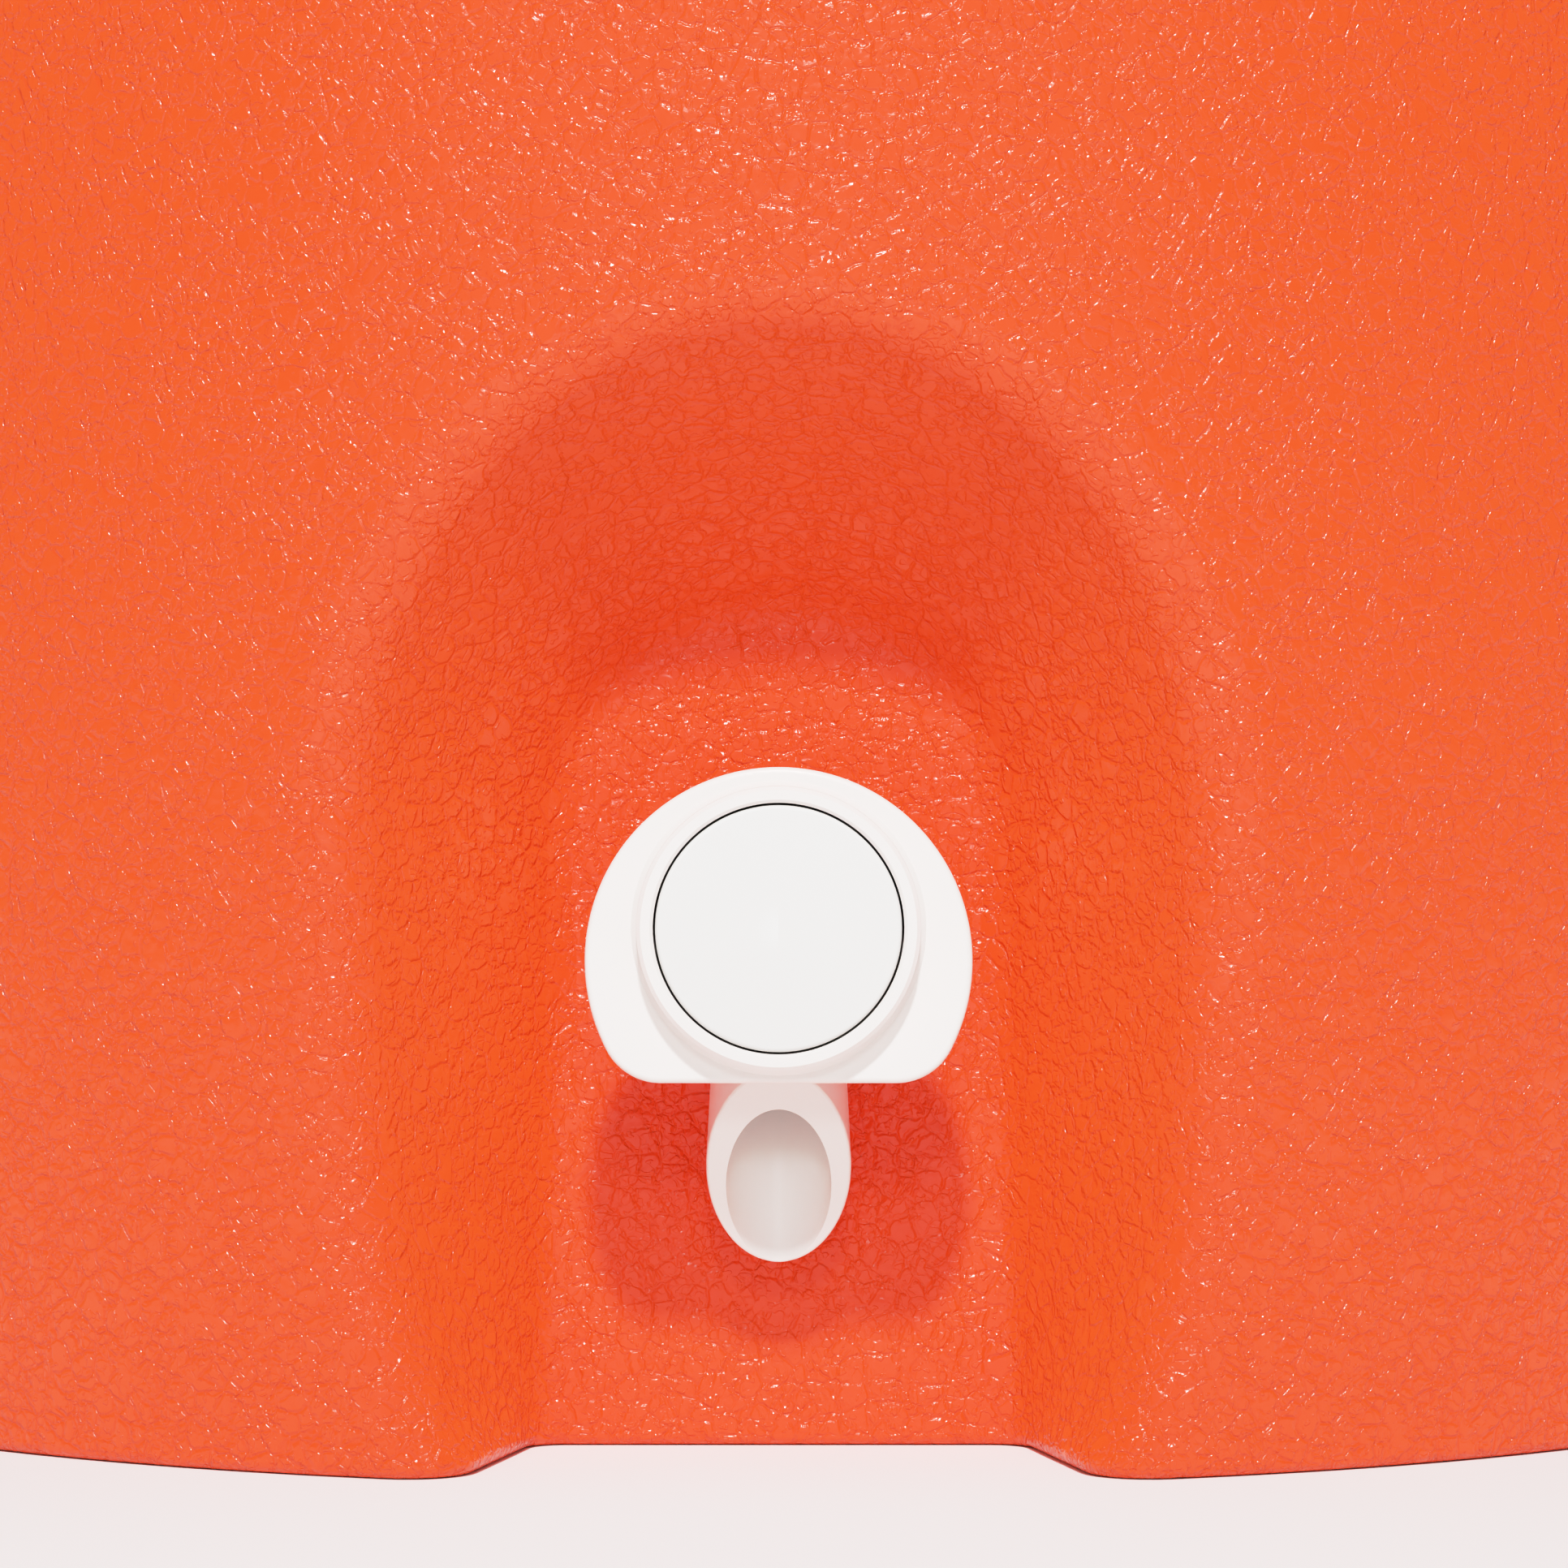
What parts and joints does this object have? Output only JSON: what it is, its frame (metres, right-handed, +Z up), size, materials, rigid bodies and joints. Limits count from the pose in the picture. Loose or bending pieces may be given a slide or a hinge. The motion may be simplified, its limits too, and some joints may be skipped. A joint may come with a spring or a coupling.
{
  "type": "beverage dispenser",
  "caption": "Round insulated beverage cooler with a push-button spigot in an arched front recess, a lift-off insulated lid and two swing handles.",
  "frame": {"origin": "centre of the circle that the foot ring stands on", "axes": "+Z up; the spigot faces -Y; the two handles are on -X and +X"},
  "size_m": [0.38, 0.3492, 0.492],
  "materials": {
    "shell_orange": "satin",
    "handle_orange": "satin",
    "foam": "matte",
    "liner_white": "satin",
    "lid_white": "satin",
    "spigot_white": "satin",
    "button_white": "satin",
    "trim_white": "satin",
    "seal_rubber": "matte",
    "spring_steel": "polished",
    "screw_steel": "satin"
  },
  "bodies": {
    "vessel": {"outer_shell": "shell_orange", "foam_insulation": "foam", "inner_liner": "liner_white", "foam_fill_plug": "trim_white", "spigot_body": "spigot_white", "spigot_faceplate": "spigot_white", "spigot_outer_washer": "seal_rubber", "spigot_inner_washer": "seal_rubber", "spigot_nut": "spigot_white", "stem_seal": "seal_rubber", "return_spring": "spring_steel", "handle_bracket_right": "handle_orange", "handle_bracket_left": "handle_orange", "bracket_screws_right": "screw_steel", "bracket_screws_left": "screw_steel", "handle_pins_right": "trim_white", "handle_pins_left": "trim_white", "pin_clips_right": "trim_white", "pin_clips_left": "trim_white"},
    "button": {"push_button": "button_white", "valve_stem": "spigot_white", "valve_seal": "seal_rubber", "seal_retainer": "spigot_white"},
    "handle_right_body": {"handle_right": "handle_orange"},
    "handle_left_body": {"handle_left": "handle_orange"},
    "lid": {"lid_cover": "lid_white", "lid_liner": "liner_white", "lid_foam": "foam", "lid_gasket": "seal_rubber"}
  },
  "joints": [
    {"name": "button_press", "type": "slide", "parent": "vessel", "child": "button", "axis": [0, 1, 0], "range_m": [0, 0.0055], "stiffness_N_per_m": 2500, "springref_m": -0.0024, "deforming": ["return_spring"]},
    {"name": "lid_lift", "type": "slide", "parent": "vessel", "child": "lid", "axis": [0, 0, 1], "range_m": [0, 0.2]},
    {"name": "handle_right_swing", "type": "hinge", "parent": "vessel", "child": "handle_right_body", "pos_m": [0.179, 0, 0.39], "axis": [0, -1, 0], "range_deg": [0, 110]},
    {"name": "handle_left_swing", "type": "hinge", "parent": "vessel", "child": "handle_left_body", "pos_m": [-0.179, 0, 0.39], "axis": [0, 1, 0], "range_deg": [0, 110]}
  ]
}
